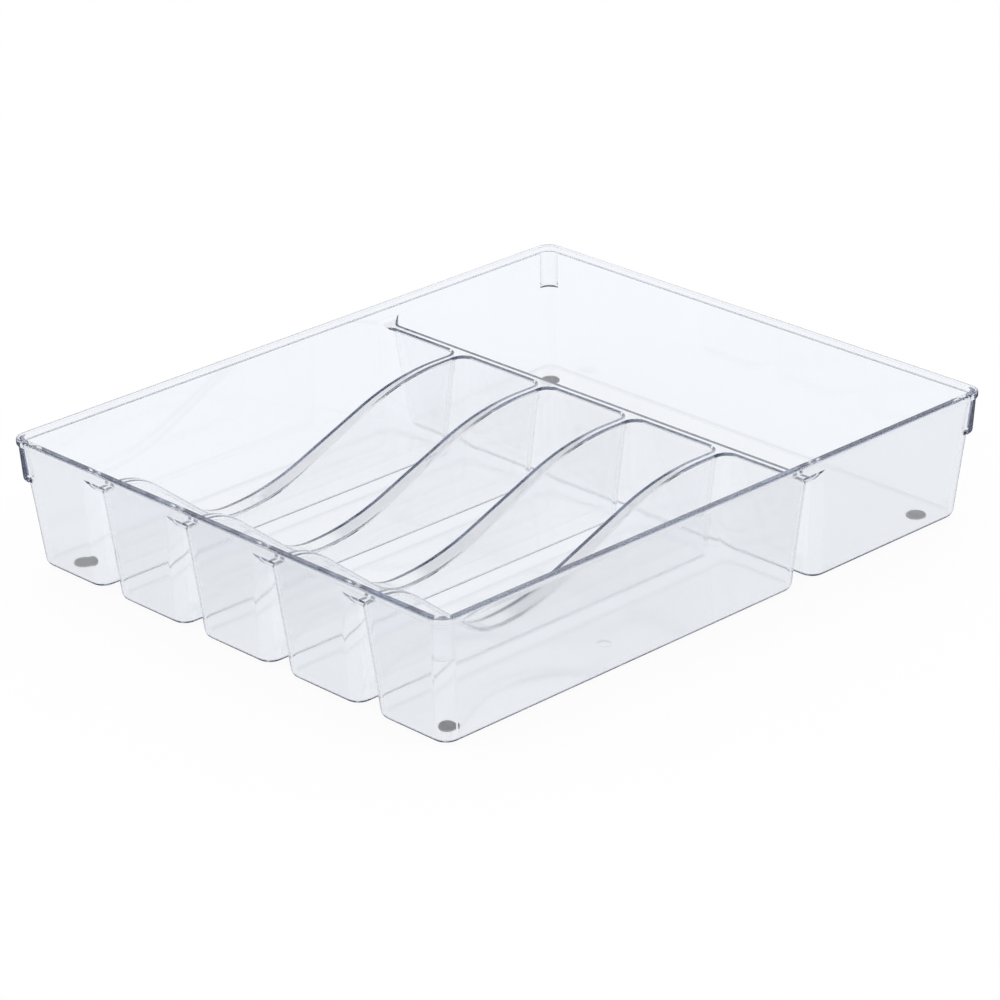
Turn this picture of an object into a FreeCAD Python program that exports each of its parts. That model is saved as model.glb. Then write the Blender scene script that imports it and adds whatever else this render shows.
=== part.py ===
import FreeCAD, Part
import math
import os

V = FreeCAD.Vector

# Moulded body, measured over the rim and from the underside of its floors
tray_length = 400.0
tray_width = 331.6
tray_height = 73.4
wall = 2.0
floor = 2.2
outer_draft = 5.4
divider_draft = 4.5
pod_corner_radius = 8.7
floor_edge_chamfer = 2.2
pocket_edge_chamfer = 1.2

# Rim: a lip that stands out from the wall all the way round
lip_projection = 2.0
lip_height = 4.0
rim_corner_radius = 9.4
rim_edge_chamfer = 0.7

# Dividers: hollow webs between neighbouring pods, flat on top
divider_count = 4
divider_pitch = 66.5
strip_width = 6.2
crest_drop = 12.2
rear_compartment_length = 124.0
web_blend_radius = 4.0
web_blend_sweep = 60.0

# The finger scoop that dips every long divider, from its front crest to its rear crest
scoop_depth = 40.0
scoop_front_run = 9.5
scoop_rear_run = 8.0
scoop_low_share = 0.33
scoop_front_radius_share = 0.377
scoop_rear_radius_share = 0.453
crest_front_radius_share = 0.433
crest_rear_radius_share = 0.453

# Corner lugs that keep stacked trays from wedging
lug_width = 11.6
lug_drop = 24.4
lug_inset = 1.1
lug_draft = 4.3
lug_tip_chamfer = 1.4

# Gate marks left under the floors
gate_mark_diameter = 7.5
gate_mark_depth = 0.3
gate_mark_front_share = 0.53
gate_mark_rear_share = 0.456

# Stick-on feet
foot_pad_diameter = 11.1
foot_pad_height = 1.0
foot_pad_edge_chamfer = 0.3
foot_adhesive_diameter = 10.5
foot_adhesive_height = 0.2
foot_inset = 17.0

# How far cutting shapes run past the faces that they open
overrun = 12.0
edge_tolerance = 0.001

base_z = foot_pad_height + foot_adhesive_height
rim_z = base_z + tray_height
crest_z = rim_z - crest_drop
outer_slope = math.tan(math.radians(outer_draft))
divider_slope = math.tan(math.radians(divider_draft))
lug_slope = math.tan(math.radians(lug_draft))
blend_angle = math.radians(web_blend_sweep)


def wall_reach(size, z):
    """Distance from the middle of the tray to the outer face of a wall at height z."""
    return size / 2 - lip_projection - (rim_z - z) * outer_slope


def gap_reach(z):
    """Half the open gap between two neighbouring pods at height z."""
    return strip_width / 2 - wall + (crest_z - z) * divider_slope


front_wall_y = wall - wall_reach(tray_length, crest_z)
side_wall_x = wall_reach(tray_width, crest_z) - wall
cross_y = -front_wall_y - rear_compartment_length - strip_width / 2
cross_reach = strip_width / 2 + pod_corner_radius + wall
divider_xs = [(k - (divider_count - 1) / 2) * divider_pitch for k in range(divider_count)]
long_reach = divider_xs[-1] + divider_pitch / 2
scoop_start = front_wall_y + web_blend_radius + scoop_front_run
scoop_end = cross_y - cross_reach - scoop_rear_run
scoop_low_y = scoop_start + (scoop_end - scoop_start) * scoop_low_share
scoop_low_z = crest_z - scoop_depth


def outer_side(sign, size):
    """Side of a pod that is an outer wall of the tray."""
    return lambda z, inset: sign * (wall_reach(size, z) - inset)


def divider_side(sign, centre):
    """Side of a pod that faces the gap under a divider."""
    return lambda z, inset: centre + sign * (gap_reach(z) + inset)


def frustum(sides, z_low, z_high, inset):
    """Drafted block between four sides, each set in by the same amount."""
    rings = []
    for z in (z_low, z_high):
        x0, x1, y0, y1 = [side(z, inset) for side in sides]
        rings.append([V(x0, y0, z), V(x1, y0, z), V(x1, y1, z), V(x0, y1, z)])
    low, high = rings
    loops = [low[::-1], high]
    for k in range(len(low)):
        loops.append([low[k - 1], low[k], high[k], high[k - 1]])
    faces = [Part.Face(Part.makePolygon(loop + loop[:1])) for loop in loops]
    return Part.Solid(Part.Shell(faces))


def level_edges(shape, z):
    """Edges of a shape that lie flat at height z."""
    lows = [e for e in shape.Edges if abs(e.BoundBox.ZMin - z) < edge_tolerance]
    return [e for e in lows if abs(e.BoundBox.ZMax - z) < edge_tolerance]


def pod(sides, z_low, z_high, inset, chamfer):
    """Drafted block with rounded uprights and a bevel round its bottom."""
    block = frustum(sides, z_low, z_high, inset)
    uprights = [e for e in block.Edges if e.BoundBox.ZLength > (z_high - z_low) / 2]
    block = block.makeFillet(pod_corner_radius - inset, uprights)
    return block.makeChamfer(chamfer, level_edges(block, z_low))


def end_blend(reach, sign, drop):
    """Where a web turns up into a wall: foot, middle and end of the arc, then a point past the wall."""
    radius = web_blend_radius + drop
    centre_s = reach - web_blend_radius
    centre_z = crest_z + web_blend_radius
    points = []
    for angle in (0, blend_angle / 2, blend_angle):
        points.append((sign * (centre_s + radius * math.sin(angle)), centre_z - radius * math.cos(angle)))
    end_s, end_z = points[-1]
    far_s = end_s + sign * overrun * math.cos(blend_angle)
    points.append((far_s, end_z + overrun * math.sin(blend_angle)))
    return points


def scoop_half(end_y, sign, crest_share, bottom_share, drop):
    """One side of the scoop as two arcs with a common tangent, moved down square to itself by drop.

    The shares are of the widest pair of arcs that the run and the depth can hold."""
    run = sign * (scoop_low_y - end_y)
    widest = (run * run + scoop_depth * scoop_depth) / (scoop_depth + scoop_depth)
    crest_radius = crest_share * widest
    bottom_radius = bottom_share * widest
    span = crest_radius + bottom_radius
    angle = math.asin(span / math.hypot(run, scoop_depth - span)) + math.atan2(scoop_depth - span, run)
    crest = []
    bottom = []
    for turn in (0, angle / 2, angle):
        lean = V(0, sign * math.sin(turn), math.cos(turn))
        crest.append(V(0, end_y, crest_z - crest_radius) + lean * (crest_radius - drop))
        bottom.append(V(0, scoop_low_y, scoop_low_z + bottom_radius) - lean * (bottom_radius + drop))
    return [Part.Arc(*crest).toShape(), Part.makeLine(crest[-1], bottom[-1]), Part.Arc(*bottom).toShape()]


def long_web_space(drop):
    """All that lies above the long dividers' tops, or above their undersides if dropped by the wall."""
    foot, middle, end, far = [V(0, s, z) for s, z in end_blend(-front_wall_y, -1, drop)]
    top_z = far.z + tray_height
    start = V(0, scoop_start, crest_z - drop)
    finish = V(0, scoop_end, crest_z - drop)
    rear = V(0, cross_y, crest_z - drop)
    edges = [Part.makeLine(far, end)]
    edges.append(Part.Arc(end, middle, foot).toShape())
    edges.append(Part.makeLine(foot, start))
    edges += scoop_half(scoop_start, 1, crest_front_radius_share, scoop_front_radius_share, drop)
    edges += scoop_half(scoop_end, -1, crest_rear_radius_share, scoop_rear_radius_share, drop)
    edges.append(Part.makeLine(finish, rear))
    edges.append(Part.makeLine(rear, V(0, cross_y, top_z)))
    edges.append(Part.makeLine(V(0, cross_y, top_z), V(0, far.y, top_z)))
    edges.append(Part.makeLine(V(0, far.y, top_z), far))
    face = Part.Face(Part.Wire(Part.__sortEdges__(edges)))
    face.translate(V(-long_reach, 0, 0))
    return face.extrude(V(long_reach + long_reach, 0, 0))


def cross_web_space(drop):
    """All that lies above the cross divider's top, or above its underside if dropped by the wall."""
    ends = []
    for sign in (-1, 1):
        ends.append([V(s, cross_y - cross_reach, z) for s, z in end_blend(side_wall_x, sign, drop)])
    left, right = ends
    rise = V(0, 0, tray_height)
    edges = [Part.makeLine(left[3], left[2])]
    edges.append(Part.Arc(left[2], left[1], left[0]).toShape())
    edges.append(Part.makeLine(left[0], right[0]))
    edges.append(Part.Arc(right[0], right[1], right[2]).toShape())
    edges.append(Part.makeLine(right[2], right[3]))
    edges.append(Part.makeLine(right[3], right[3] + rise))
    edges.append(Part.makeLine(right[3] + rise, left[3] + rise))
    edges.append(Part.makeLine(left[3] + rise, left[3]))
    return Part.Face(Part.Wire(edges)).extrude(V(0, cross_reach + cross_reach, 0))


def rounded_plate(length, width, z_low, z_high, radius):
    """Upright-sided block about the middle of the tray with rounded corners."""
    plate = Part.makeBox(width, length, z_high - z_low, V(-width / 2, -length / 2, z_low))
    uprights = [e for e in plate.Edges if e.BoundBox.ZLength > edge_tolerance]
    return plate.makeFillet(radius, uprights)


def corner_lug(sign_x, sign_y):
    """Rib under one rim corner, its outer face following the corner and drawn in towards its tip."""
    z_low = rim_z - lug_drop
    centre_x = sign_x * (tray_width / 2 - rim_corner_radius)
    centre = V(centre_x, sign_y * (tray_length / 2 - rim_corner_radius), z_low)
    height = lug_drop - lip_height / 2
    low_radius = rim_corner_radius - lug_inset - (lug_drop - lip_height) * lug_slope
    drum = Part.makeCone(low_radius, low_radius + height * lug_slope, height, centre)
    slot = Part.makeBox(rim_corner_radius, lug_width, height, V(0, -lug_width / 2, 0))
    slot.rotate(V(0, 0, 0), V(0, 0, 1), math.degrees(math.atan2(sign_y, sign_x)))
    slot.translate(centre)
    rib = drum.common(slot)
    tips = [e for e in level_edges(rib, z_low) if e.Curve.TypeId == "Part::GeomCircle"]
    return rib.makeChamfer(lug_tip_chamfer, tips)


# Pods: five side by side at the front and one across the rear
rows = [divider_side(1, cross_y), outer_side(1, tray_length)]
columns = [outer_side(-1, tray_width)]
for x in divider_xs:
    columns += [divider_side(-1, x), divider_side(1, x)]
columns.append(outer_side(1, tray_width))
front_rows = [outer_side(-1, tray_length), divider_side(-1, cross_y)]
pod_sides = [columns[k:k + 2] + front_rows for k in range(0, len(columns), 2)]
pod_sides.append([columns[0], columns[-1]] + rows)

floor_z = base_z + floor
shells = [pod(sides, base_z, rim_z, 0, floor_edge_chamfer) for sides in pod_sides]
pockets = [pod(sides, floor_z, rim_z + overrun, wall, pocket_edge_chamfer) for sides in pod_sides]

tub_sides = [outer_side(-1, tray_width), outer_side(1, tray_width)]
tub_sides += [outer_side(-1, tray_length), outer_side(1, tray_length)]
tub_low = floor_z + floor_edge_chamfer
tub = frustum(tub_sides, tub_low, rim_z, 0)
tub_space = frustum(tub_sides, tub_low, rim_z + overrun, wall)

lip = rounded_plate(tray_length, tray_width, rim_z - lip_height, rim_z, rim_corner_radius)
lugs = [corner_lug(sign_x, sign_y) for sign_x in (-1, 1) for sign_y in (-1, 1)]
webs = [tub.common(long_web_space(wall)), tub.common(cross_web_space(wall))]
outside = shells[0].multiFuse(shells[1:] + webs + [lip] + lugs).removeSplitter()
tops = [tub_space.common(long_web_space(0)), tub_space.common(cross_web_space(0))]
tray_body = outside.cut(pockets + tops).removeSplitter()

outer_pod_x = (divider_xs[-1] + gap_reach(base_z) + wall_reach(tray_width, base_z)) / 2
front_pod_low = -wall_reach(tray_length, base_z)
front_pod_y = front_pod_low + gate_mark_front_share * (cross_y - gap_reach(base_z) - front_pod_low)
rear_pod_y = (cross_y + gap_reach(base_z) + wall_reach(tray_length, base_z)) / 2
rear_mark_x = gate_mark_rear_share * wall_reach(tray_width, base_z)
gate_spots = [(outer_pod_x, front_pod_y), (rear_mark_x, rear_pod_y)]
for spot_x, spot_y in gate_spots:
    for sign in (-1, 1):
        dimple = Part.makeCylinder(gate_mark_diameter / 2, gate_mark_depth, V(sign * spot_x, spot_y, base_z))
        tray_body = tray_body.cut(dimple)

tray_body = tray_body.makeChamfer(rim_edge_chamfer, level_edges(tray_body, rim_z))

os.makedirs("parts", exist_ok=True)
tray_body.exportStep("parts/tray_body.step")

# Feet: a rubber disc and its adhesive film under each corner
foot_x = wall_reach(tray_width, base_z) - foot_inset
foot_y = wall_reach(tray_length, base_z) - foot_inset
for sign_x, side_name in ((-1, "left"), (1, "right")):
    for sign_y, end_name in ((-1, "front"), (1, "rear")):
        centre = V(sign_x * foot_x, sign_y * foot_y, 0)
        pad = Part.makeCylinder(foot_pad_diameter / 2, foot_pad_height, centre)
        pad = pad.makeChamfer(foot_pad_edge_chamfer, level_edges(pad, 0))
        pad.exportStep("parts/foot_pad_" + end_name + "_" + side_name + ".step")
        film = Part.makeCylinder(foot_adhesive_diameter / 2, foot_adhesive_height, centre)
        film.translate(V(0, 0, foot_pad_height))
        film.exportStep("parts/foot_adhesive_" + end_name + "_" + side_name + ".step")
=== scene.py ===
import math

import bmesh
import bpy
import numpy as np
from bpy.props import FloatProperty, FloatVectorProperty, PointerProperty
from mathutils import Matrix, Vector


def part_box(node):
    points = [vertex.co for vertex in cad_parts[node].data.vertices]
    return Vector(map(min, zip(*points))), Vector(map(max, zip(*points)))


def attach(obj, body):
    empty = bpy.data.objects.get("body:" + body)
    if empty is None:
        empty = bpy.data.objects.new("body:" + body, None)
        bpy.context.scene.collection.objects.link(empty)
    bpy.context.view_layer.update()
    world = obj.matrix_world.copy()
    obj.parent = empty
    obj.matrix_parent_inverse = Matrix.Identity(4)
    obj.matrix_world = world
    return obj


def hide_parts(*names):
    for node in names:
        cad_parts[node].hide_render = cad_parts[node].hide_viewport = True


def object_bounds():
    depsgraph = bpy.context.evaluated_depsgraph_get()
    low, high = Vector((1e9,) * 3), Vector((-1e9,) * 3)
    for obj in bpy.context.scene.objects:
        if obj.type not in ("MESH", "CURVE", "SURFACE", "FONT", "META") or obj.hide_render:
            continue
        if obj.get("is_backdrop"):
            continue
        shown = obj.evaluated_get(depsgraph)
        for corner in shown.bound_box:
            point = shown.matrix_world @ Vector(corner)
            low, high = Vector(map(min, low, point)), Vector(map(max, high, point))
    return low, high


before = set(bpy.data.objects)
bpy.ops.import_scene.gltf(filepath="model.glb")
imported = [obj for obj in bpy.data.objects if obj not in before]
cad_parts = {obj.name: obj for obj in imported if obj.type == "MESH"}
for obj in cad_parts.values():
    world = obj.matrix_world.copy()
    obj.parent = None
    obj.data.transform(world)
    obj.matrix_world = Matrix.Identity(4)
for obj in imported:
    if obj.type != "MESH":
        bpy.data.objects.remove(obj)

bl_info = {
    "name": "Cutlery tray",
    "version": (1, 0, 0),
    "blender": (4, 5, 0),
    "location": "View3D > Sidebar > Tray",
    "description": "Clear moulded cutlery tray with wavy dividers, on stick-on feet",
    "category": "Add Mesh",
}

# The CAD box, kept before any piece is added
CAD_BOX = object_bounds()
TRAY_LOW, TRAY_HIGH = [np.array(corner, float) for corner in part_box("tray_body")]
FOOT_PLACES = [f"{end}_{side}" for end in ("front", "rear") for side in ("left", "right")]
WHITE = (1.0, 1.0, 1.0, 1.0)
# A millimetre, in the script's metres
MM = 0.001

# Points along the curves: a quarter turn or a divider's end turn, one arc of the dip, a lug,
# and the rest of a corner on each side of its lug
TURN_POINTS = 13
SCOOP_POINTS = 41
LUG_POINTS = 13
BESIDE_LUG_POINTS = 4
# Points along the pods' sides: the short and long sides of a front pod, the outer sides of the rear pod
SHORT_POINTS = 12
LONG_POINTS = 92
REAR_POINTS = 24
# Points across a divider's top, round half a gate mark and round a foot
WEB_POINTS = 7
GATE_POINTS = 25
DISC_POINTS = 48
# Rows over a round edge: at a floor, at a divider's top or the lip's lower edge, at the rim's top, on a foot
FLOOR_EDGE_ROWS = 8
EDGE_ROWS = 5
RIM_EDGE_ROWS = 6
DISC_EDGE_ROWS = 6


def size(name, description, default):
    """A length in metres that a user may change."""
    length = float(default)
    return FloatProperty(name=name, description=description, default=length, unit="LENGTH", precision=5)


def share(name, description, default):
    """A plain factor that a user may change."""
    return FloatProperty(
        name=name, description=description, default=default, min=0.0, max=1.0, subtype="FACTOR")


def turn(name, description, degrees):
    """An angle that a user may change."""
    return FloatProperty(name=name, description=description, default=math.radians(degrees), subtype="ANGLE")


def linear(code):
    """An sRGB hex colour as linear RGB: the toe is a straight line, the rest a power of 2.4."""
    part = np.array([int(code[k:k + 2], 16) for k in (1, 3, 5)]) / 255.0
    return tuple(np.where(part <= 0.04045, part / 12.92, ((part + 0.055) / 1.055) ** 2.4))


def colour(name, description, code):
    """A colour that a user may change, given as sRGB hex."""
    return FloatVectorProperty(
        name=name, description=description, default=linear(code), subtype="COLOR", size=3, min=0.0, max=1.0)


class TraySizes(bpy.types.PropertyGroup):
    """Sizes of the moulded tray and of its feet."""
    length: size("Length", "Over the rim, front to rear", TRAY_HIGH[1] - TRAY_LOW[1])
    width: size("Width", "Over the rim, side to side", TRAY_HIGH[0] - TRAY_LOW[0])
    base: size("Base", "Height of the floors' underside", TRAY_LOW[2])
    rim: size("Rim", "Height of the rim's top", TRAY_HIGH[2])
    wall: size("Wall", "Thickness of walls and dividers", 0.0020)
    floor: size("Floor", "Thickness of the floors", 0.0022)
    outer_draft: turn("Outer draft", "Slope of the outer walls", 5.4)
    divider_draft: turn("Divider draft", "Slope of the dividers' sides", 4.5)
    corner_radius: size("Corner radius", "Upright corners of the pods, outside", 0.0087)
    floor_radius: size("Floor radius", "Round edge under each pod", 0.0040)
    pocket_radius: size("Pocket radius", "Round edge of each floor, inside", 0.0012)
    lip_projection: size("Lip projection", "How far the lip stands out from the wall", 0.0020)
    lip_height: size("Lip height", "Depth of the lip's outer face", 0.0040)
    rim_corner_radius: size("Rim corner radius", "Corners of the lip, seen from above", 0.0094)
    rim_edge_radius: size("Rim edge radius", "Rounding of the rim's edges", 0.0012)
    rim_inner_radius: size("Rim inner radius", "Rounding of the rim's edge inside the tray", 0.0003)
    divider_pitch: size("Divider pitch", "Spacing of the long dividers", 0.0665)
    strip_width: size("Strip width", "Flat top of a divider at its crest", 0.0062)
    strip_edge_radius: size("Strip edge radius", "Rounding along a divider's top", 0.0012)
    hollow_edge_radius: size("Hollow edge radius", "Rounding of the hollow under a divider", 0.0003)
    crest_drop: size("Crest drop", "From the rim down to the dividers' crests", 0.0122)
    rear_length: size("Rear length", "Rear compartment at crest height", 0.124)
    blend_radius: size("Blend radius", "Where a divider's top turns up into a wall", 0.0040)
    blend_sweep: turn("Blend sweep", "How far that turn goes", 60.0)
    scoop_depth: size("Scoop depth", "Dip of the long dividers", 0.0400)
    scoop_front_run: size("Front run", "Level top before the dip", 0.0095)
    scoop_rear_run: size("Rear run", "Level top after the dip", 0.0080)
    scoop_low_share: share("Low point", "Place of the dip's low point", 0.33)
    scoop_front_share: share("Front bottom arc", "Share of the widest pair of arcs", 0.377)
    scoop_rear_share: share("Rear bottom arc", "Share of the widest pair of arcs", 0.453)
    crest_front_share: share("Front crest arc", "Share of the widest pair of arcs", 0.433)
    crest_rear_share: share("Rear crest arc", "Share of the widest pair of arcs", 0.453)
    lug_width: size("Lug width", "Corner rib under the lip", 0.0116)
    lug_drop: size("Lug drop", "From the rim to the rib's tip", 0.0244)
    lug_inset: size("Lug inset", "From the lip's face to the rib's face, under the lip", 0.0011)
    lug_draft: turn("Lug draft", "How the rib's face is drawn in towards its tip", 4.3)
    lug_tip: size("Lug tip", "Rounding of the rib's tip", 0.0018)
    gate_diameter: size("Gate mark", "Round mark under the floors", 0.0075)
    gate_depth: size("Gate mark depth", "Depth of that mark", 0.0003)
    gate_front_share: share("Front gate mark", "Place along a long pod's floor", 0.53)
    gate_rear_share: share("Rear gate mark", "Place across the rear pod's floor", 0.456)
    pad_edge: size("Pad edge", "Rounding of a foot's edges", 0.0003)
    film_gap: size("Film gap", "Air left over the adhesive, too thin to see", 0.00003)


class TrayColours(bpy.types.PropertyGroup):
    """Colours of the materials and of the stage."""
    plastic: colour("Plastic", "Tint of a single pass through the plastic", "#FFFFFF")
    plastic_depth: colour("Plastic depth", "Colour that a long path through the plastic takes", "#A3B3D0")
    rubber: colour("Rubber", "Foot pads", "#B2B5BB")
    rubber_worn: colour("Rubber, worn", "Rubbed patches of the pads", "#C0C3C8")
    film: colour("Adhesive film", "Film between pad and floor", "#787C88")
    film_pale: colour("Adhesive film, pale", "Thin places of the film", "#8A8E98")
    ground: colour("Ground", "Studio floor", "#F9F9FB")
    # Painted shadow: a faintly blue, slightly darker floor that only rays through the plastic see, in place
    # of the tray's shadow
    ground_painted_shadow_through: colour("Ground, through plastic", "Studio floor as the plastic shows it", "#F7FAFF")
    # Painted shade: a dark grey that the floor shows only in reflections, in place of shadow on the floor
    ground_painted_dark_in_gloss: colour("Ground, in gloss", "Studio floor as outer faces mirror it", "#5A5E6A")
    overhead: colour("Overhead", "Studio ceiling as gloss and clear plastic show it", "#1E2236")


# Curves of the dividers

# Straight run after a divider's end turn, as a share of that turn's radius
END_RUN_SHARE = 3


def wall_reach(s, span, z):
    """A wall's outer face from the tray's middle: half the span less the lip, less drop times draft."""
    return span / 2 - s.lip_projection - (s.rim - z) * math.tan(s.outer_draft)


def cross_place(s):
    """Middle line of the cross divider, from the rear wall's inner face at crest height."""
    return wall_reach(s, s.length, s.rim - s.crest_drop) - s.wall - s.rear_length - s.strip_width / 2


def end_turn(s, reach, drop):
    """The top of a divider where it turns up into a wall: an arc from level, then its tangent line."""
    crest = s.rim - s.crest_drop
    angle = np.linspace(0.0, s.blend_sweep, TURN_POINTS)
    radius = s.blend_radius + drop
    along = reach - s.blend_radius + radius * np.sin(angle)
    height = crest + s.blend_radius - radius * np.cos(angle)
    far = END_RUN_SHARE * s.blend_radius
    along = np.append(along, along[-1] + far * math.cos(s.blend_sweep))
    return along, np.append(height, height[-1] + far * math.sin(s.blend_sweep))


def scoop_side(s, run, crest_share, bottom_share, drop):
    """Half of the dip from its low point out: a hollow arc and a crest arc, one tangent line between.

    The radii are shares of the widest pair of arcs that the run and the depth hold,
    (run^2 + depth^2) / (2 depth). Gives the distance from the low point and the height under the crest."""
    widest = (run * run + s.scoop_depth ** 2) / (2 * s.scoop_depth)
    crest_radius, bottom_radius = crest_share * widest, bottom_share * widest
    span = crest_radius + bottom_radius
    rest = s.scoop_depth - span
    lean = math.asin(span / math.hypot(run, rest)) + math.atan2(rest, run)
    angle = np.linspace(0.0, lean, SCOOP_POINTS)
    hollow, crown = bottom_radius + drop, crest_radius - drop
    low_run = hollow * np.sin(angle)
    low_height = bottom_radius - hollow * np.cos(angle) - s.scoop_depth
    high_run = run - crown * np.sin(angle[::-1])
    high_height = crown * np.cos(angle[::-1]) - crest_radius
    return np.concatenate([low_run, high_run]), np.concatenate([low_height, high_height])


def long_line(s, drop):
    """Height of a long divider's top along Y, or of its underside when dropped.

    From the front: end turn, crest, dip, crest, cross divider."""
    crest = s.rim - s.crest_drop
    reach = wall_reach(s, s.length, crest) - s.wall
    cross = cross_place(s)
    start = -reach + s.blend_radius + s.scoop_front_run
    end = cross - s.strip_width / 2 - s.corner_radius - s.wall - s.scoop_rear_run
    low = start + (end - start) * s.scoop_low_share
    turn_y, turn_z = end_turn(s, reach, drop)
    front_y, front_z = scoop_side(s, low - start, s.crest_front_share, s.scoop_front_share, drop)
    rear_y, rear_z = scoop_side(s, end - low, s.crest_rear_share, s.scoop_rear_share, drop)
    y = np.concatenate([-turn_y[::-1], low - front_y[::-1], low + rear_y[1:], [cross + s.rear_length]])
    z = np.concatenate([turn_z[::-1], crest + front_z[::-1], crest + rear_z[1:], [crest - drop]])
    return y, z


def cross_line(s, drop):
    """Height of the cross divider's top by distance from the tray's middle: level, then the end turn."""
    crest = s.rim - s.crest_drop
    x, z = end_turn(s, wall_reach(s, s.width, crest) - s.wall, drop)
    return np.append(0.0, x), np.append(crest - drop, z)


# Outlines of the pods

DIVIDERS = 4
FRONT_PODS = DIVIDERS + 1
# Pods are counted from the left, and the rear one comes last
LEFT_POD, RIGHT_POD, REAR_POD = 0, DIVIDERS, FRONT_PODS
PODS = FRONT_PODS + 1
# Outline segments, anticlockwise from the front-left corner's end, seen from above
SEGMENTS = 8
FRONT, FRONT_RIGHT, RIGHT, REAR_RIGHT, REAR, REAR_LEFT, LEFT, FRONT_LEFT = range(SEGMENTS)
# What bounds a segment's top: an outer wall, a long divider or the cross divider
BY_WALL, BY_LONG, BY_CROSS = range(3)
# Columns of an outline's table: place at z = 0, slope in z, outward normal, height of the top, lug flag and
# place across the lug
PLACE, SLOPE, NORMAL, TOP, LUG, LUG_PLACE = slice(0, 2), slice(2, 4), slice(4, 6), 6, 7, 8
OUTLINE_COLUMNS = 9
# Angle in radians from a lug's side to the wall beside it, so that the side is a face of its own
LUG_SIDE_LEAN = 0.012
# Repeats after which a height no longer changes
SETTLE_ROUNDS = 40
# Control point's weight in a round edge, near a quarter circle's 0.71
ROUND_WEIGHT = 0.72


def pod_sides(s):
    """Sides of the six pods (left, right, front, rear) as lines in z: tables of place at 0 and slope."""
    lean, slant = math.tan(s.outer_draft), math.tan(s.divider_draft)
    reach_x, reach_y = wall_reach(s, s.width, 0.0), wall_reach(s, s.length, 0.0)
    gap = s.strip_width / 2 - s.wall + (s.rim - s.crest_drop) * slant
    xs = (np.arange(DIVIDERS) - (DIVIDERS - 1) / 2) * s.divider_pitch
    cross = cross_place(s)
    slants = np.full(DIVIDERS, slant)
    place, slope = np.zeros((PODS, 4)), np.zeros((PODS, 4))
    place[:FRONT_PODS, 0], slope[:FRONT_PODS, 0] = np.append(-reach_x, xs + gap), np.append(-lean, -slants)
    place[:FRONT_PODS, 1], slope[:FRONT_PODS, 1] = np.append(xs - gap, reach_x), np.append(slants, lean)
    place[:FRONT_PODS, 2:], slope[:FRONT_PODS, 2:] = (-reach_y, cross - gap), (-lean, slant)
    place[REAR_POD], slope[REAR_POD] = (-reach_x, reach_x, cross + gap, reach_y), (-lean, lean, -slant, lean)
    return place, slope


def corner_turns(s, lug):
    """Shares of a quarter turn round an upright corner, with the lug flag and the place across the lug.

    A tray corner has extra places at the lug's two sides; elsewhere the shares are even."""
    if not lug:
        even = np.linspace(0.0, 1.0, TURN_POINTS)
        return np.column_stack([even, np.zeros((TURN_POINTS, 2))])
    half = math.asin(s.lug_width / 2 / s.corner_radius)
    middle = math.pi / 4
    inside = np.linspace(-1.0, 1.0, LUG_POINTS)
    angles = middle + inside * (half - LUG_SIDE_LEAN)
    ribs = np.column_stack([angles, np.ones(LUG_POINTS), inside * s.lug_width / 2])
    plain = np.zeros((BESIDE_LUG_POINTS, 2))
    before = np.column_stack([np.linspace(0.0, middle - half, BESIDE_LUG_POINTS), plain])
    after = np.column_stack([np.linspace(middle + half, math.pi / 2, BESIDE_LUG_POINTS), plain])
    table = np.concatenate([before, ribs, after])
    table[:, 0] /= math.pi / 2
    return table


def outline(s, place, slope, inset, lugs, shares):
    """One pod's level outline as a table of straight lines in z, segment by segment.

    A corner point is the corner's centre plus the radius along the normal; a side point lies by its share
    between the two corners. Both move straight with z, as the sides do."""
    inward = np.array([1.0, -1.0, 1.0, -1.0])
    x0, x1, y0, y1 = place + inset * inward
    bx0, bx1, by0, by1 = slope
    radius = s.corner_radius - inset
    corners = {
        FRONT_RIGHT: ((x1 - radius, y0 + radius), (bx1, by0), -0.5 * math.pi),
        REAR_RIGHT: ((x1 - radius, y1 - radius), (bx1, by1), 0.0),
        REAR_LEFT: ((x0 + radius, y1 - radius), (bx0, by1), 0.5 * math.pi),
        FRONT_LEFT: ((x0 + radius, y0 + radius), (bx0, by0), math.pi),
    }
    tables = {}
    for segment, (centre, lean, start) in corners.items():
        turns = corner_turns(s, segment in lugs)
        angle = start + turns[:, 0] * math.pi / 2
        normal = np.column_stack([np.cos(angle), np.sin(angle)])
        table = np.zeros((len(angle), OUTLINE_COLUMNS))
        table[:, PLACE], table[:, SLOPE], table[:, NORMAL] = np.array(centre) + radius * normal, lean, normal
        table[:, LUG], table[:, LUG_PLACE] = turns[:, 1], turns[:, 2]
        tables[segment] = table
    for segment in (FRONT, RIGHT, REAR, LEFT):
        first, last = tables[(segment - 1) % SEGMENTS][-1], tables[(segment + 1) % SEGMENTS][0]
        tables[segment] = first + shares[segment][:, None] * (last - first)
        tables[segment][:, LUG:] = 0.0
    return [tables[segment] for segment in range(SEGMENTS)]


def set_tops(tables, kinds, long_top, cross_top, wall_top):
    """Height of each outline point's top.

    Found by repeating: the place at that height, then the divider's line there."""
    for table, kind in zip(tables, kinds):
        table[:, TOP] = wall_top
        if kind == BY_WALL:
            continue
        for _ in range(SETTLE_ROUNDS):
            at = table[:, PLACE] + table[:, SLOPE] * table[:, TOP:TOP + 1]
            if kind == BY_LONG:
                table[:, TOP] = np.interp(at[:, 1], *long_top)
            else:
                table[:, TOP] = np.interp(np.abs(at[:, 0]), *cross_top)


def at_height(table, z):
    """Points of an outline at height z, one height or one for each."""
    z = np.broadcast_to(z, len(table))
    return np.column_stack([table[:, PLACE] + table[:, SLOPE] * z[:, None], z])


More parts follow.
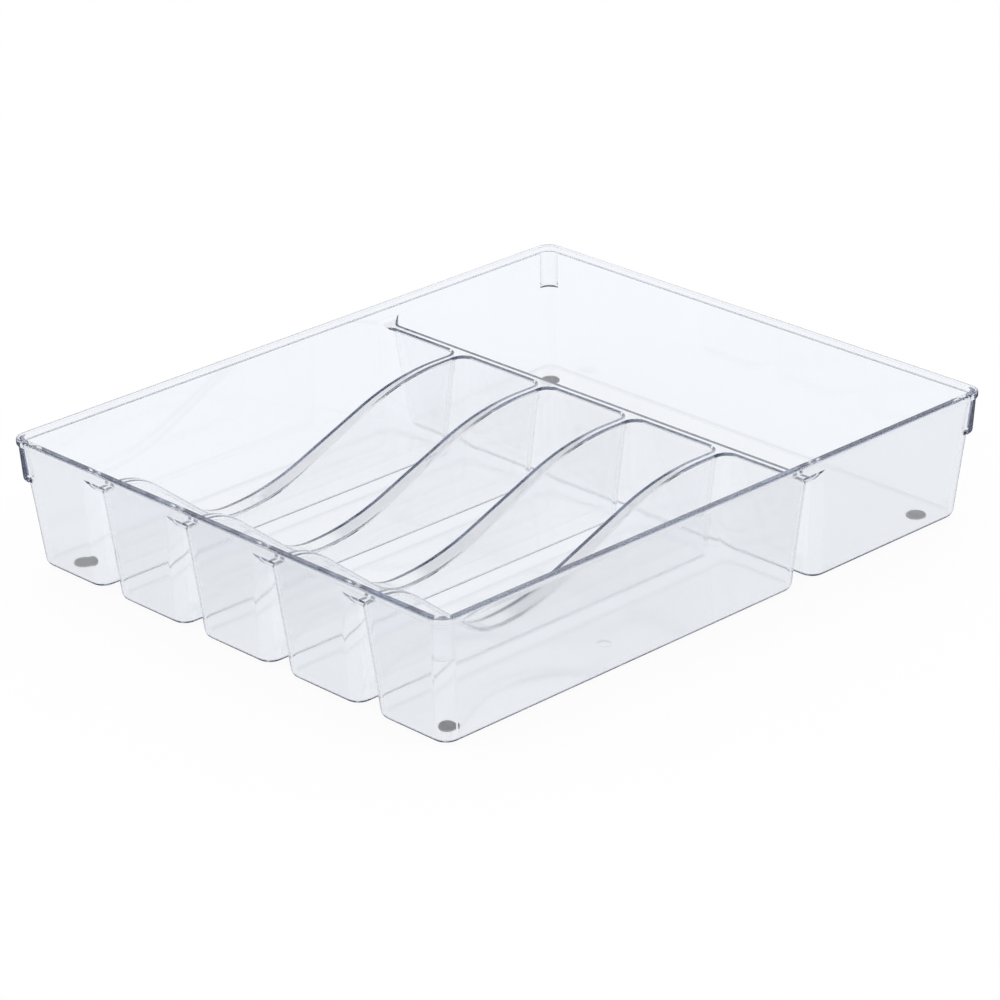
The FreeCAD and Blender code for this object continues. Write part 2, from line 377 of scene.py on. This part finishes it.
def round_edge(first, corner, last, steps):
    """Rows that round an edge: a rational quadratic from first to last, the corner its control point."""
    t = np.linspace(0.0, 1.0, steps)[:, None, None]
    a, b, c = (1 - t) ** 2, 2 * ROUND_WEIGHT * t * (1 - t), t ** 2
    return (a * first + b * corner + c * last) / (a + b + c)


# Faces

# Points that fall into one cell of half a micron are welded
CELLS_PER_METRE = 2e6
# Edges that turn by more than this stay sharp
SHARP_ANGLE = math.radians(38.0)


def grid_quads(numbers):
    """Quads between the neighbours of a grid of point numbers."""
    corners = [numbers[:-1, :-1], numbers[:-1, 1:], numbers[1:, 1:], numbers[1:, :-1]]
    return np.stack(corners, axis=-1).reshape(-1, 4)


class Skin:
    """Gathers patches of points and their faces before they are welded into one mesh."""

    def __init__(self):
        self.points, self.quads, self.plates, self.count = [], [], [], 0

    def add_points(self, points):
        """Keeps the points and gives their numbers, in the shape of the patch."""
        numbers = self.count + np.arange(points[..., 0].size).reshape(points.shape[:-1])
        self.points.append(points.reshape(-1, 3))
        self.count += numbers.size
        return numbers

    def patch(self, points, wrap=False, flip=False):
        """A grid of points as quads, closed along its columns if wrapped. Flip turns its faces over."""
        numbers = self.add_points(points)
        if wrap:
            numbers = np.concatenate([numbers, numbers[:, :1]], axis=1)
        quads = grid_quads(numbers)
        self.quads.append(quads[:, ::-1] if flip else quads)

    def plate(self, points, flip=False):
        """A flat face round a loop of points."""
        numbers = self.add_points(points)
        self.plates.append(numbers[::-1] if flip else numbers)

    def mesh(self, name):
        """Welds equal points and drops what the weld closes up: a quad with two equal corners is a triangle.

        Makes a closed mesh with outward faces and its sharp edges marked."""
        points, quads = np.concatenate(self.points), np.concatenate(self.quads)
        cells = np.round(points * CELLS_PER_METRE).astype(np.int64)
        _, first, number = np.unique(cells, axis=0, return_index=True, return_inverse=True)
        number = number.reshape(-1)
        quads = number[quads]
        same = quads == np.roll(quads, -1, axis=1)
        whole = (same.sum(axis=1) == 0) & (quads[:, 0] != quads[:, 2]) & (quads[:, 1] != quads[:, 3])
        faces = quads[whole].tolist()
        for k in range(4):
            one = (same.sum(axis=1) == 1) & same[:, k]
            faces += quads[one][:, [k, (k + 2) % 4, (k + 3) % 4]].tolist()
        for plate in self.plates:
            loop = number[plate]
            faces.append(loop[loop != np.roll(loop, 1)].tolist())
        mesh = bpy.data.meshes.new(name)
        mesh.from_pydata(points[first].tolist(), [], faces)
        shell = bmesh.new()
        shell.from_mesh(mesh)
        open_edges = sum(not edge.is_manifold for edge in shell.edges)
        if open_edges:
            raise RuntimeError(f"{name}: {open_edges} edges are open or shared by more than two faces")
        bmesh.ops.recalc_face_normals(shell, faces=shell.faces)
        shell.to_mesh(mesh)
        shell.free()
        mesh.shade_smooth()
        mesh.set_sharp_from_angle(angle=SHARP_ANGLE)
        return mesh


def put_piece(mesh, material, cad_node):
    """Puts a finished mesh in the scene on the fixed body, in the place of its CAD node."""
    mesh.materials.append(material)
    piece = bpy.data.objects.new(mesh.name, mesh)
    bpy.context.scene.collection.objects.link(piece)
    flat = piece.modifiers.new("Weighted normals", "WEIGHTED_NORMAL")
    flat.keep_sharp = True
    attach(piece, "root")
    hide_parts(cad_node)


# The moulded tray

# Corners of the pods that carry a lug
LUG_CORNERS = {LEFT_POD: (FRONT_LEFT,), RIGHT_POD: (FRONT_RIGHT,), REAR_POD: (REAR_RIGHT, REAR_LEFT)}
# How fast a divider's round edge grows from nothing at a wall, as it goes down by the end turn's radius
EDGE_FADE_RATE = 1.5
# The line where pod and rim meet sinks near a tray corner, over this run in metres. It is lowest inside
# the corner by a share of the corner's radius, and below the lug's tip by a share of the tip's rounding
JOINT_RUN = 0.030
JOINT_CORE_SHARE = 1.5
JOINT_TIP_SHARE = 3


def pod_kinds(pod):
    """What bounds the top of each segment of a pod's outline."""
    if pod == REAR_POD:
        return [BY_CROSS, BY_CROSS, BY_WALL, BY_WALL, BY_WALL, BY_WALL, BY_WALL, BY_CROSS]
    right, rear_right = (BY_WALL, BY_CROSS) if pod == RIGHT_POD else (BY_LONG, BY_LONG)
    left, rear_left = (BY_WALL, BY_CROSS) if pod == LEFT_POD else (BY_LONG, BY_LONG)
    return [BY_WALL, right, right, rear_right, BY_CROSS, rear_left, left, left]


def across(first, last):
    """Points across a divider's top, straight from one side to the other."""
    v = np.linspace(0.0, 1.0, WEB_POINTS)
    return first + v[:, None] * (last - first)


def rear_shares(s, place, slope):
    """Shares along the rear pod's front side, opposite the front pods' points and the dividers' ends."""
    crest = s.rim - s.crest_drop
    even = np.linspace(0.0, 1.0, SHORT_POINTS)
    ends = place[:FRONT_PODS, :2] + slope[:FRONT_PODS, :2] * crest + s.corner_radius * np.array([1.0, -1.0])
    marks = [ends[0, 0] + even * (ends[0, 1] - ends[0, 0])]
    for k in range(1, FRONT_PODS):
        gap = np.linspace(ends[k - 1, 1], ends[k, 0], WEB_POINTS)
        marks += [gap[1:-1], ends[k, 0] + even * (ends[k, 1] - ends[k, 0])]
    x = np.concatenate(marks)
    return ((x - x[0]) / (x[-1] - x[0]))[1:-1]


def skin_outlines(s, inset, drop):
    """The six pods' outlines for one skin of the tray, inner or outer, with the height of every top."""
    place, slope = pod_sides(s)
    long_top, cross_top = long_line(s, drop), cross_line(s, drop)
    wall_top = s.rim - s.crest_drop
    for _ in range(SETTLE_ROUNDS):
        wall_top = np.interp(wall_reach(s, s.width, wall_top) - inset, *cross_top)
    counts = (SHORT_POINTS, LONG_POINTS, REAR_POINTS)
    short, long, side = [np.linspace(0.0, 1.0, count)[1:-1] for count in counts]
    pods = []
    for pod in range(PODS):
        shares = {FRONT: short, RIGHT: long, REAR: short, LEFT: long}
        if pod == REAR_POD:
            shares = {FRONT: rear_shares(s, place, slope), RIGHT: side, REAR: side, LEFT: side}
        tables = outline(s, place[pod], slope[pod], inset, LUG_CORNERS.get(pod, ()), shares)
        set_tops(tables, pod_kinds(pod), long_top, cross_top, wall_top)
        if drop:
            lower_joint(s, tables, pod_kinds(pod), wall_top)
        pods.append(tables)
    return pods, long_top, cross_top, wall_top


def lower_joint(s, tables, kinds, wall_top):
    """On the outer skin, lets the line where pod and rim meet run down under the lugs.

    It sinks by how near a point is to a tray corner, along X and along Y, whichever is less."""
    reach = np.array([wall_reach(s, s.width, wall_top), wall_reach(s, s.length, wall_top)])
    core = reach - JOINT_CORE_SHARE * s.corner_radius
    low = s.rim - s.lug_drop - JOINT_TIP_SHARE * s.lug_tip
    for table, kind in zip(tables, kinds):
        if kind == BY_WALL:
            past = np.abs(at_height(table, wall_top)[:, :2]) - core + JOINT_RUN
            near = np.clip(past / JOINT_RUN, 0.0, 1.0).min(axis=1)
            table[:, TOP] = wall_top - near * (wall_top - low)


def pod_rows(s, tables, kinds, skin):
    """Rows of one pod, floor to top: round floor edge, drafted wall, round edge at a divider's top."""
    base, radius, edge, long_top, cross_top, wall_top = skin
    table = np.concatenate(tables)
    kind = np.repeat(kinds, [len(t) for t in tables])
    normal = np.column_stack([table[:, NORMAL], np.zeros(len(table))])
    top = table[:, TOP]
    foot = at_height(table, base)
    floor_edge = round_edge(foot - radius * normal, foot, at_height(table, base + radius), FLOOR_EDGE_ROWS)
    fade = np.clip(EDGE_FADE_RATE * (wall_top - top) / s.blend_radius, 0.0, 1.0)
    soft = np.where(kind == BY_WALL, 0.0, edge * fade)
    crown = at_height(table, top)
    flat = crown + soft[:, None] * normal
    over_long = np.interp(flat[:, 1], *long_top)
    over_cross = np.interp(np.abs(flat[:, 0]), *cross_top)
    flat[:, 2] = np.select([kind == BY_LONG, kind == BY_CROSS], [over_long, over_cross], top)
    top_edge = round_edge(at_height(table, top - soft), crown, flat, EDGE_ROWS)
    return np.concatenate([floor_edge, top_edge])


def split(rows, tables):
    """The last row of a pod, cut into its eight segments."""
    ends = np.cumsum([len(t) for t in tables])[:-1]
    return np.split(rows[-1], ends)


def add_webs(body, edges, flip):
    """The dividers' tops, or their undersides.

    They are straight lines in X over the long dividers and straight lines in Y over the cross divider."""
    v = np.linspace(0.0, 1.0, WEB_POINTS)
    for k in range(DIVIDERS):
        a, b = edges[k], edges[k + 1]
        left = np.concatenate([a[FRONT_RIGHT], a[RIGHT], a[REAR_RIGHT]])
        right = np.concatenate([b[FRONT_LEFT][::-1], b[LEFT][::-1], b[REAR_LEFT][::-1]])
        body.patch(left[:, None] + v[:, None] * (right - left)[:, None], flip=flip)
    first, last, rear_pod = edges[LEFT_POD], edges[RIGHT_POD], edges[REAR_POD]
    front = [first[REAR_LEFT][::-1], first[REAR][::-1], first[REAR_RIGHT][-1:]]
    for k in range(1, FRONT_PODS):
        front.append(across(edges[k - 1][REAR_RIGHT][-1], edges[k][REAR_LEFT][0])[1:-1])
        front += [edges[k][REAR_LEFT][:1], edges[k][REAR][::-1]]
        if k < RIGHT_POD:
            front.append(edges[k][REAR_RIGHT][-1:])
    front = np.concatenate(front + [last[REAR_RIGHT][::-1]])
    rear = np.concatenate([rear_pod[FRONT_LEFT], rear_pod[FRONT], rear_pod[FRONT_RIGHT]])
    body.patch(front + v[:, None, None] * (rear - front), flip=flip)


def perimeter(pods):
    """The outline right round the tray, anticlockwise: the pods' outer segments, the dividers' ends."""
    first, last, rear = pods[LEFT_POD], pods[RIGHT_POD], pods[REAR_POD]
    parts = [first[FRONT_LEFT], first[FRONT]]
    for k in range(DIVIDERS):
        parts += [across(pods[k][FRONT_RIGHT][0], pods[k + 1][FRONT_LEFT][-1]), pods[k + 1][FRONT]]
    parts += [last[FRONT_RIGHT], last[RIGHT]]
    parts += [across(last[REAR_RIGHT][0], rear[FRONT_RIGHT][-1])]
    parts += [rear[segment] for segment in (RIGHT, REAR_RIGHT, REAR, REAR_LEFT, LEFT)]
    parts += [across(rear[FRONT_LEFT][0], first[REAR_LEFT][-1]), first[LEFT]]
    return np.concatenate(parts)


def add_rim(s, body, inner, outer):
    """The rim as one profile carried round the tray: up the inner wall, over the top, round the lip.

    Below the lip it goes down the outer wall, where the corner lugs stand out along arcs about the lip's
    corner centres."""
    normal = outer[:, NORMAL]
    wall_core = np.array([wall_reach(s, s.width, s.rim), wall_reach(s, s.length, s.rim)]) - s.corner_radius
    lip_core = np.array([s.width, s.length]) / 2 - s.rim_corner_radius
    core = (at_height(outer, s.rim)[:, :2] - s.corner_radius * normal) * lip_core / wall_core

    def lip(inward, z):
        """The lip's outline, drawn in by a distance, at one height."""
        return np.column_stack([core + (s.rim_corner_radius - inward) * normal, np.full(len(core), z)])

    edge, inner_edge, under = s.rim_edge_radius, s.rim_inner_radius, s.rim - s.lip_height
    out = np.column_stack([normal, np.zeros(len(normal))])
    top = at_height(inner, s.rim)
    rows = [at_height(inner, inner[:, TOP])[None]]
    inner_foot = at_height(inner, s.rim - inner_edge)
    rows.append(round_edge(inner_foot, top, top + inner_edge * out, RIM_EDGE_ROWS))
    rows.append(round_edge(lip(edge, s.rim), lip(0.0, s.rim), lip(0.0, s.rim - edge), RIM_EDGE_ROWS))
    rows.append(round_edge(lip(0.0, under + edge), lip(0.0, under), lip(edge, under), EDGE_ROWS))

    rib = outer[:, LUG] > 0.5
    diagonal = np.sign(core) / math.sqrt(2)
    across_lug = outer[:, LUG_PLACE:] * np.column_stack([-diagonal[:, 1], diagonal[:, 0]])

    def lugged(inward, z):
        """The outer wall with the lugs' faces, these drawn in by a distance, at one height."""
        z = np.maximum(z, outer[:, TOP])
        radius = s.rim_corner_radius - s.lug_inset - (under - z) * math.tan(s.lug_draft)
        along = np.sqrt(np.maximum(radius ** 2 - outer[:, LUG_PLACE] ** 2, 0.0)) - inward
        face = core + across_lug + along[:, None] * diagonal
        return np.where(rib[:, None], np.column_stack([face, z]), at_height(outer, z))

    tip = s.rim - s.lug_drop
    rows.append(lugged(0.0, under)[None])
    face_end, tip_start = lugged(0.0, tip + s.lug_tip), lugged(s.lug_tip, tip)
    rows.append(round_edge(face_end, lugged(0.0, tip), tip_start, EDGE_ROWS))
    rows.append(at_height(outer, np.maximum(tip, outer[:, TOP]))[None])
    rows.append(at_height(outer, outer[:, TOP])[None])
    body.patch(np.concatenate(rows), wrap=True, flip=True)


def gate_spots(s, pod, place, slope):
    """Middles of the round gate marks under one pod, from left to right."""
    x0, x1, y0, y1 = place[pod] + slope[pod] * s.base
    if pod in (LEFT_POD, RIGHT_POD):
        return [((x0 + x1) / 2, y0 + s.gate_front_share * (y1 - y0))]
    if pod == REAR_POD:
        return [(sign * s.gate_rear_share * x1, (y0 + y1) / 2) for sign in (-1, 1)]
    return []


def add_underside(s, body, pod, ring, tables, place, slope):
    """A pod's flat underside, with its gate marks as shallow round recesses.

    Round the marks it is two flat faces that meet on a line through the marks' middles."""
    spots = gate_spots(s, pod, place, slope)
    if not spots:
        body.plate(ring, flip=True)
        return
    ends = np.cumsum([0] + [len(t) for t in tables])
    level = spots[0][1]
    right = ends[RIGHT] + int(np.argmin(np.abs(ring[ends[RIGHT]:ends[RIGHT + 1], 1] - level)))
    left = ends[LEFT] + int(np.argmin(np.abs(ring[ends[LEFT]:ends[LEFT + 1], 1] - level)))
    angle = np.linspace(0.0, math.pi, GATE_POINTS)
    arc = s.gate_diameter / 2 * np.column_stack([np.cos(angle), np.sin(angle), np.zeros(GATE_POINTS)])
    rise = np.array([0.0, 0.0, s.gate_depth])
    near, far = [], []
    for x, y in spots:
        middle = np.array([x, y, s.base])
        back, front = middle + arc, middle + arc * (1, -1, 1)
        far.append(back[::-1])
        near.insert(0, front)
        loop = np.concatenate([back[:-1], front[::-1][:-1]])
        body.patch(np.stack([loop, loop + rise]), wrap=True, flip=True)
        body.plate(loop + rise, flip=True)
    turned = np.roll(ring, -left, axis=0)
    front_count = (right - left) % len(ring) + 1
    body.plate(np.concatenate([turned[:front_count]] + near), flip=True)
    rear_part = np.concatenate([turned[front_count - 1:], turned[:1]])
    body.plate(np.concatenate([rear_part] + far), flip=True)


def tray_mesh(s):
    """The tray as one closed shell: inner and outer skin, the dividers' tops and undersides, and the rim."""
    body = Skin()
    place, slope = pod_sides(s)
    rounds = {}
    for name, inset, drop, base, radius, edge in (
        ("inner", s.wall, 0.0, s.base + s.floor, s.pocket_radius, s.strip_edge_radius),
        ("outer", 0.0, s.wall, s.base, s.floor_radius, s.hollow_edge_radius),
    ):
        pods, long_top, cross_top, wall_top = skin_outlines(s, inset, drop)
        skin = (base, radius, edge, long_top, cross_top, wall_top)
        inside, edges = name == "inner", []
        for pod, tables in enumerate(pods):
            rows = pod_rows(s, tables, pod_kinds(pod), skin)
            body.patch(rows, wrap=True, flip=inside)
            if inside:
                body.plate(rows[0])
            else:
                add_underside(s, body, pod, rows[0], tables, place, slope)
            edges.append(split(rows, tables))
        add_webs(body, edges, flip=not inside)
        rounds[name] = perimeter(pods)
    add_rim(s, body, rounds["inner"], rounds["outer"])
    return body.mesh("tray_body_moulded")


# Feet

def disc_mesh(name, low, high, edge):
    """A round pad, a profile turned about its axis: out along the bottom, up round the edge, in again."""
    middle, radius = (low + high) / 2, (high[0] - low[0]) / 2
    quarter = np.linspace(0.0, math.pi / 2, DISC_EDGE_ROWS)
    r = np.concatenate([radius - edge + edge * np.sin(quarter), radius - edge + edge * np.cos(quarter)])
    z = np.concatenate([low[2] + edge - edge * np.cos(quarter), high[2] - edge + edge * np.sin(quarter)])
    angle = np.linspace(0.0, 2 * math.pi, DISC_POINTS + 1)[:-1]
    x, y = middle[0] + r[:, None] * np.cos(angle), middle[1] + r[:, None] * np.sin(angle)
    points = np.stack([x, y, np.repeat(z[:, None], DISC_POINTS, axis=1)], axis=-1)
    body = Skin()
    body.patch(points, wrap=True)
    body.plate(points[0], flip=True)
    body.plate(points[-1])
    return body.mesh(name)


# Materials

def node(tree, kind, inputs=None, **settings):
    """Adds one node with its settings; an input takes a value, or another node's output as a link."""
    made = tree.nodes.new(kind)
    for name, value in settings.items():
        setattr(made, name, value)
    for name, value in (inputs or {}).items():
        if isinstance(value, bpy.types.NodeSocket):
            tree.links.new(value, made.inputs[name])
        else:
            made.inputs[name].default_value = value
    return made


def blank(name):
    """A material with an empty node tree."""
    material = bpy.data.materials.new(name)
    material.use_nodes = True
    material.node_tree.nodes.clear()
    return material, material.node_tree


def clear_styrene(c):
    """Clear polystyrene, injection moulded in a polished tool.

    To the eye: reflections that are a little soft, edges that look dark because light runs a long way inside
    the wall, and a faint wave in the surface where the melt cooled."""
    material, tree = blank("clear polystyrene, polished mould")
    place = node(tree, "ShaderNodeTexCoord").outputs["Object"]
    # Flow waves about 28 mm long; real ones are a few microns high
    flow = node(tree, "ShaderNodeTexNoise", {
        "Vector": place, "Scale": 1 / (28 * MM), "Detail": 2.0, "Roughness": 0.4, "Distortion": 0.6})
    bump = node(tree, "ShaderNodeBump", {"Height": flow.outputs["Fac"], "Strength": 0.004, "Distance": MM})
    # A moulded skin is never quite clear: a light haze, more of it in handled patches of about 60 mm
    haze = node(tree, "ShaderNodeTexNoise", {"Vector": place, "Scale": 1 / (60 * MM), "Detail": 3.0})
    rough = node(tree, "ShaderNodeMapRange", {
        "Value": haze.outputs["Fac"], "From Min": 0.4, "From Max": 0.75, "To Min": 0.05, "To Max": 0.09})
    shader = node(tree, "ShaderNodeBsdfPrincipled", {
        "Base Color": (*c.plastic, 1.0), "Transmission Weight": 1.0, "IOR": 1.57,
        "Roughness": rough.outputs["Result"], "Normal": bump.outputs["Normal"]})
    depth = node(tree, "ShaderNodeVolumeAbsorption", {"Color": (*c.plastic_depth, 1.0), "Density": 7.0})
    node(tree, "ShaderNodeOutputMaterial", {
        "Surface": shader.outputs["BSDF"], "Volume": depth.outputs["Volume"]})
    return material


def foot_rubber(c):
    """Grey silicone rubber, moulded: soft wide sheen, a fine pebbled skin and rubbed paler patches."""
    material, tree = blank("grey silicone rubber, moulded")
    place = node(tree, "ShaderNodeTexCoord").outputs["Object"]
    # Rubbed patches of about 3 mm
    rub = node(tree, "ShaderNodeTexNoise", {"Vector": place, "Scale": 1 / (3 * MM), "Detail": 4.0})
    shade = node(tree, "ShaderNodeMix", {
        "Factor": rub.outputs["Fac"], "A": (*c.rubber, 1.0), "B": (*c.rubber_worn, 1.0)}, data_type="RGBA")
    # Pebbles of 0.4 mm, drawn coarser than the real 0.1 mm so that they show
    pebble = node(tree, "ShaderNodeTexVoronoi", {"Vector": place, "Scale": 1 / (0.4 * MM)})
    bump = node(tree, "ShaderNodeBump", {
        "Height": pebble.outputs["Distance"], "Strength": 0.15, "Distance": 0.1 * MM})
    shader = node(tree, "ShaderNodeBsdfPrincipled", {
        "Base Color": shade.outputs["Result"], "Roughness": 0.6, "IOR": 1.41,
        "Normal": bump.outputs["Normal"]})
    node(tree, "ShaderNodeOutputMaterial", {"Surface": shader.outputs["BSDF"]})
    return material


def adhesive_film(c):
    """Acrylic pressure-sensitive film on the rubber: even grey, small paler spots where it is loose."""
    material, tree = blank("acrylic adhesive film, cast")
    place = node(tree, "ShaderNodeTexCoord").outputs["Object"]
    # Spots of about 2.5 mm
    wet = node(tree, "ShaderNodeTexNoise", {
        "Vector": place, "Scale": 1 / (2.5 * MM), "Detail": 5.0, "Roughness": 0.6})
    step = node(tree, "ShaderNodeMapRange", {"Value": wet.outputs["Fac"], "From Min": 0.45, "From Max": 0.7})
    shade = node(tree, "ShaderNodeMix", {
        "Factor": step.outputs["Result"], "A": (*c.film, 1.0), "B": (*c.film_pale, 1.0)}, data_type="RGBA")
    shader = node(tree, "ShaderNodeBsdfPrincipled", {
        "Base Color": shade.outputs["Result"], "Roughness": 0.35, "IOR": 1.47})
    node(tree, "ShaderNodeOutputMaterial", {"Surface": shader.outputs["BSDF"]})
    return material


# Studio

# The floor reaches this far from the middle, in metres, and has this many points on a side
FLOOR_REACH = 4.0
FLOOR_POINTS = 9
# How much of the floor shows its plain colour; the rest keeps the shadow
FLOOR_GLOW = 0.94
# Light that falls on matt surfaces
SOFT_LIGHT = 1.06
# The ceiling begins and is whole at these heights on a sphere of radius 1
CEILING_START, CEILING_WHOLE = 0.50, 0.58
# Camera: lens and sensor in millimetres, place and far end of its view in metres, turn in degrees
LENS, SENSOR, VIEW_END = 154.974, 36.0, 20.0
CAMERA_PLACE = (1.52352, -1.45339, 0.95443)
CAMERA_TURN = (66.1549, 1.1606, 45.8726)


def studio_card(c):
    """Matt white card: plain white to the camera, with the tray's shadow.

    Rays that crossed the plastic see it faintly blue and a little darker, a painted shadow; an outer face
    mirrors it in a painted dark grey, painted shade in the reflection."""
    material, tree = blank("studio floor, matt card")
    path = node(tree, "ShaderNodeLightPath").outputs
    gloss = {0: path["Is Camera Ray"], 1: path["Is Glossy Ray"]}
    seen = node(tree, "ShaderNodeMath", gloss, operation="MAXIMUM")
    clear = {0: seen.outputs[0], 1: path["Is Transmission Ray"]}
    seen = node(tree, "ShaderNodeMath", clear, operation="MAXIMUM")
    matt = node(tree, "ShaderNodeBsdfDiffuse", {"Color": (*c.ground, 1.0)})
    # Painted shade in the floor: dark grey in reflections, a faintly blue painted shadow through the plastic
    crossed = node(tree, "ShaderNodeMath", {0: path["Transmission Depth"], 1: 0.5}, operation="GREATER_THAN")
    through = node(tree, "ShaderNodeMix", {
        "Factor": crossed.outputs[0], "A": (*c.ground_painted_dark_in_gloss, 1.0), "B": (*c.ground_painted_shadow_through, 1.0)},
        data_type="RGBA")
    plain = node(tree, "ShaderNodeMix", {
        "Factor": path["Is Camera Ray"], "A": through.outputs["Result"], "B": WHITE}, data_type="RGBA")
    glow = node(tree, "ShaderNodeEmission", {"Color": plain.outputs["Result"], "Strength": 1.0})
    shown = node(tree, "ShaderNodeMixShader", {0: FLOOR_GLOW, 1: matt.outputs[0], 2: glow.outputs[0]})
    both = node(tree, "ShaderNodeMixShader", {0: seen.outputs[0], 1: matt.outputs[0], 2: shown.outputs[0]})
    node(tree, "ShaderNodeOutputMaterial", {"Surface": both.outputs[0]})
    return material


def add_floor(scene, c):
    """The studio floor: a level square grid at z = 0."""
    side = np.linspace(-FLOOR_REACH, FLOOR_REACH, FLOOR_POINTS)
    x, y = np.meshgrid(side, side)
    points = np.stack([x, y, np.zeros_like(x)], axis=-1).reshape(-1, 3)
    quads = grid_quads(np.arange(x.size).reshape(x.shape))
    mesh = bpy.data.meshes.new("studio_floor")
    mesh.from_pydata(points.tolist(), [], quads.tolist())
    mesh.materials.append(studio_card(c))
    floor = bpy.data.objects.new("studio_floor", mesh)
    scene.collection.objects.link(floor)
    floor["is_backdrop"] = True


def add_light(scene, c):
    """Even light from all sides; gloss and clear plastic see a white horizon and a darker ceiling."""
    world = bpy.data.worlds.new("studio")
    scene.world = world
    world.use_nodes = True
    tree = world.node_tree
    tree.nodes.clear()
    path = node(tree, "ShaderNodeLightPath").outputs
    clear = {0: path["Is Glossy Ray"], 1: path["Is Transmission Ray"]}
    shine = node(tree, "ShaderNodeMath", clear, operation="MAXIMUM")
    up = node(tree, "ShaderNodeSeparateXYZ", {0: node(tree, "ShaderNodeTexCoord").outputs["Generated"]})
    rise = node(tree, "ShaderNodeMapRange", {
        "Value": up.outputs["Z"], "From Min": CEILING_START, "From Max": CEILING_WHOLE},
        interpolation_type="SMOOTHSTEP")
    ceiling = node(tree, "ShaderNodeMix", {
        "Factor": rise.outputs["Result"], "A": WHITE, "B": (*c.overhead, 1.0)}, data_type="RGBA")
    soft = node(tree, "ShaderNodeBackground", {"Color": WHITE, "Strength": SOFT_LIGHT})
    shown = node(tree, "ShaderNodeBackground", {"Color": ceiling.outputs["Result"], "Strength": 1.0})
    both = node(tree, "ShaderNodeMixShader", {0: shine.outputs[0], 1: soft.outputs[0], 2: shown.outputs[0]})
    node(tree, "ShaderNodeOutputWorld", {"Surface": both.outputs[0]})


def add_camera(scene):
    """The camera, at the photograph's viewing angle."""
    lens = bpy.data.cameras.new("camera")
    lens.lens, lens.sensor_width, lens.clip_end = LENS, SENSOR, VIEW_END
    camera = bpy.data.objects.new("camera", lens)
    camera.location = CAMERA_PLACE
    camera.rotation_euler = [math.radians(angle) for angle in CAMERA_TURN]
    scene.collection.objects.link(camera)
    scene.camera = camera


# Operators

class TrayBodyOperator(bpy.types.Operator):
    """Makes the moulded tray"""
    bl_idname = "cutlery_tray.body"
    bl_label = "Moulded tray"

    def execute(self, context):
        mesh = tray_mesh(context.scene.tray_sizes)
        put_piece(mesh, clear_styrene(context.scene.tray_colours), "tray_body")
        return {"FINISHED"}


class TrayPadsOperator(bpy.types.Operator):
    """Makes the four rubber pads"""
    bl_idname = "cutlery_tray.pads"
    bl_label = "Rubber pads"

    def execute(self, context):
        s, material = context.scene.tray_sizes, foot_rubber(context.scene.tray_colours)
        for place in FOOT_PLACES:
            low, high = [np.array(corner, float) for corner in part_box("foot_pad_" + place)]
            mesh = disc_mesh("foot_pad_moulded_" + place, low, high, s.pad_edge)
            put_piece(mesh, material, "foot_pad_" + place)
        return {"FINISHED"}


class TrayFilmsOperator(bpy.types.Operator):
    """Makes the adhesive films between pads and floors"""
    bl_idname = "cutlery_tray.films"
    bl_label = "Adhesive films"

    def execute(self, context):
        s, material = context.scene.tray_sizes, adhesive_film(context.scene.tray_colours)
        for place in FOOT_PLACES:
            low, high = [np.array(corner, float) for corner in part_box("foot_adhesive_" + place)]
            high[2] -= s.film_gap
            mesh = disc_mesh("foot_film_cut_" + place, low, high, s.film_gap)
            put_piece(mesh, material, "foot_adhesive_" + place)
        return {"FINISHED"}


class TrayStageOperator(bpy.types.Operator):
    """Sets the floor, the light and the camera"""
    bl_idname = "cutlery_tray.stage"
    bl_label = "Studio"

    def execute(self, context):
        scene, c = context.scene, context.scene.tray_colours
        scene.view_settings.view_transform = "Standard"
        # Light runs a long way inside clear walls before it gets out
        scene.cycles.max_bounces = 400
        scene.cycles.glossy_bounces = 300
        scene.cycles.transmission_bounces = 100
        add_floor(scene, c)
        add_light(scene, c)
        add_camera(scene)
        return {"FINISHED"}


OPERATORS = (TrayBodyOperator, TrayPadsOperator, TrayFilmsOperator, TrayStageOperator)


class TrayPanel(bpy.types.Panel):
    """Sizes, colours and steps of the cutlery tray"""
    bl_label = "Cutlery tray"
    bl_idname = "VIEW3D_PT_cutlery_tray"
    bl_space_type = "VIEW_3D"
    bl_region_type = "UI"
    bl_category = "Tray"

    def draw(self, context):
        for group in (context.scene.tray_sizes, context.scene.tray_colours):
            box = self.layout.box()
            for name in group.__annotations__:
                box.prop(group, name)
        for operator in OPERATORS:
            self.layout.operator(operator.bl_idname)


CLASSES = (TraySizes, TrayColours, *OPERATORS, TrayPanel)


def register():
    for cls in CLASSES:
        bpy.utils.register_class(cls)
    bpy.types.Scene.tray_sizes = PointerProperty(type=TraySizes)
    bpy.types.Scene.tray_colours = PointerProperty(type=TrayColours)


def unregister():
    del bpy.types.Scene.tray_colours
    del bpy.types.Scene.tray_sizes
    for cls in reversed(CLASSES):
        bpy.utils.unregister_class(cls)


def main():
    register()
    bpy.ops.cutlery_tray.body()
    bpy.ops.cutlery_tray.pads()
    bpy.ops.cutlery_tray.films()
    bpy.ops.cutlery_tray.stage()
    bpy.context.view_layer.update()
    boxes = {"cad": CAD_BOX, "visual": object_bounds()}
    {name: [[float(v) for v in corner] for corner in box] for name, box in boxes.items()}


if __name__ == "__main__":
    main()
